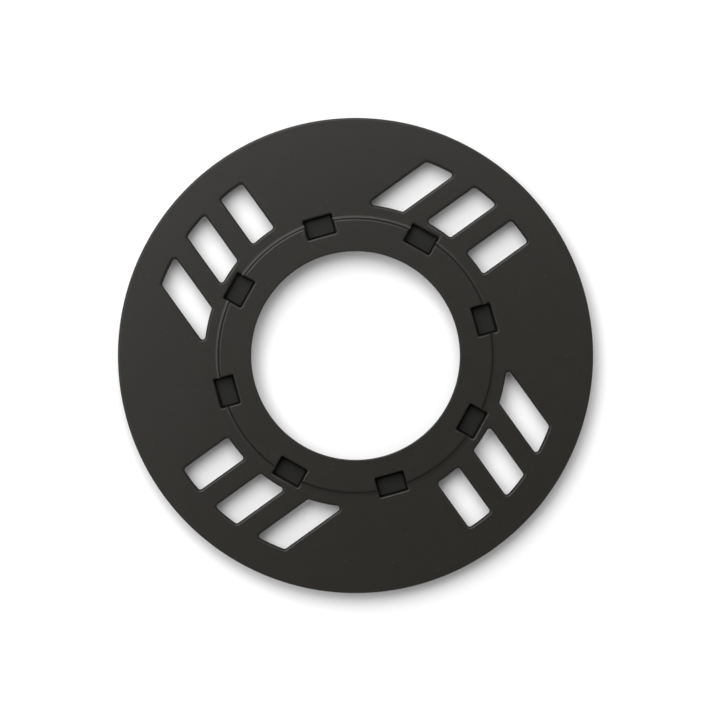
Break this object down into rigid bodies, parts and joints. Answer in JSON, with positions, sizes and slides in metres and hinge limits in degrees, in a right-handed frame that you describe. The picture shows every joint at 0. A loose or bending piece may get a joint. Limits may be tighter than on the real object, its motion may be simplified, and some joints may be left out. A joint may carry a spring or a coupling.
{
  "type": "chain ring guard",
  "caption": "Flat round plastic guard disc with slanted slots, held to a bicycle chain ring by a raised clip ring with sprung snap fingers.",
  "frame": {"origin": "on the axis of the bore, in the plane that the collar's foot rests on", "axes": "+Z along the bore axis, out of the front face that points away from the chain ring; +Y up and +X right as seen from the front"},
  "size_m": [0.104, 0.104, 0.0054],
  "materials": {
    "disc_plastic": "matt black moulded plastic, very fine grain",
    "ring_plastic": "matt black moulded plastic, very fine grain",
    "finger_plastic": "matt black moulded plastic, smoother than the front faces"
  },
  "bodies": {
    "guard": {"guard_disc": "disc_plastic", "clip_ring": "ring_plastic"},
    "finger_1": {"snap_finger_1": "finger_plastic"},
    "finger_2": {"snap_finger_2": "finger_plastic"},
    "finger_3": {"snap_finger_3": "finger_plastic"},
    "finger_4": {"snap_finger_4": "finger_plastic"},
    "finger_5": {"snap_finger_5": "finger_plastic"},
    "finger_6": {"snap_finger_6": "finger_plastic"},
    "finger_7": {"snap_finger_7": "finger_plastic"},
    "finger_8": {"snap_finger_8": "finger_plastic"}
  },
  "joints": [
    {"name": "finger_1_flex", "type": "hinge", "parent": "guard", "child": "finger_1", "pos_m": [0.02514, 0.00702, 0.0035], "axis": [-0.2689, 0.9632, 0], "range_deg": [-2, 8], "stiffness_Nm_per_rad": 0.5},
    {"name": "finger_2_flex", "type": "hinge", "parent": "guard", "child": "finger_2", "pos_m": [0.01281, 0.02274, 0.0035], "axis": [-0.8712, 0.4909, 0], "range_deg": [-2, 8], "stiffness_Nm_per_rad": 0.5},
    {"name": "finger_3_flex", "type": "hinge", "parent": "guard", "child": "finger_3", "pos_m": [-0.00702, 0.02514, 0.0035], "axis": [-0.9632, -0.2689, 0], "range_deg": [-2, 8], "stiffness_Nm_per_rad": 0.5},
    {"name": "finger_4_flex", "type": "hinge", "parent": "guard", "child": "finger_4", "pos_m": [-0.02274, 0.01281, 0.0035], "axis": [-0.4909, -0.8712, 0], "range_deg": [-2, 8], "stiffness_Nm_per_rad": 0.5},
    {"name": "finger_5_flex", "type": "hinge", "parent": "guard", "child": "finger_5", "pos_m": [-0.02514, -0.00702, 0.0035], "axis": [0.2689, -0.9632, 0], "range_deg": [-2, 8], "stiffness_Nm_per_rad": 0.5},
    {"name": "finger_6_flex", "type": "hinge", "parent": "guard", "child": "finger_6", "pos_m": [-0.01281, -0.02274, 0.0035], "axis": [0.8712, -0.4909, 0], "range_deg": [-2, 8], "stiffness_Nm_per_rad": 0.5},
    {"name": "finger_7_flex", "type": "hinge", "parent": "guard", "child": "finger_7", "pos_m": [0.00702, -0.02514, 0.0035], "axis": [0.9632, 0.2689, 0], "range_deg": [-2, 8], "stiffness_Nm_per_rad": 0.5},
    {"name": "finger_8_flex", "type": "hinge", "parent": "guard", "child": "finger_8", "pos_m": [0.02274, -0.01281, 0.0035], "axis": [0.4909, 0.8712, 0], "range_deg": [-2, 8], "stiffness_Nm_per_rad": 0.5}
  ]
}
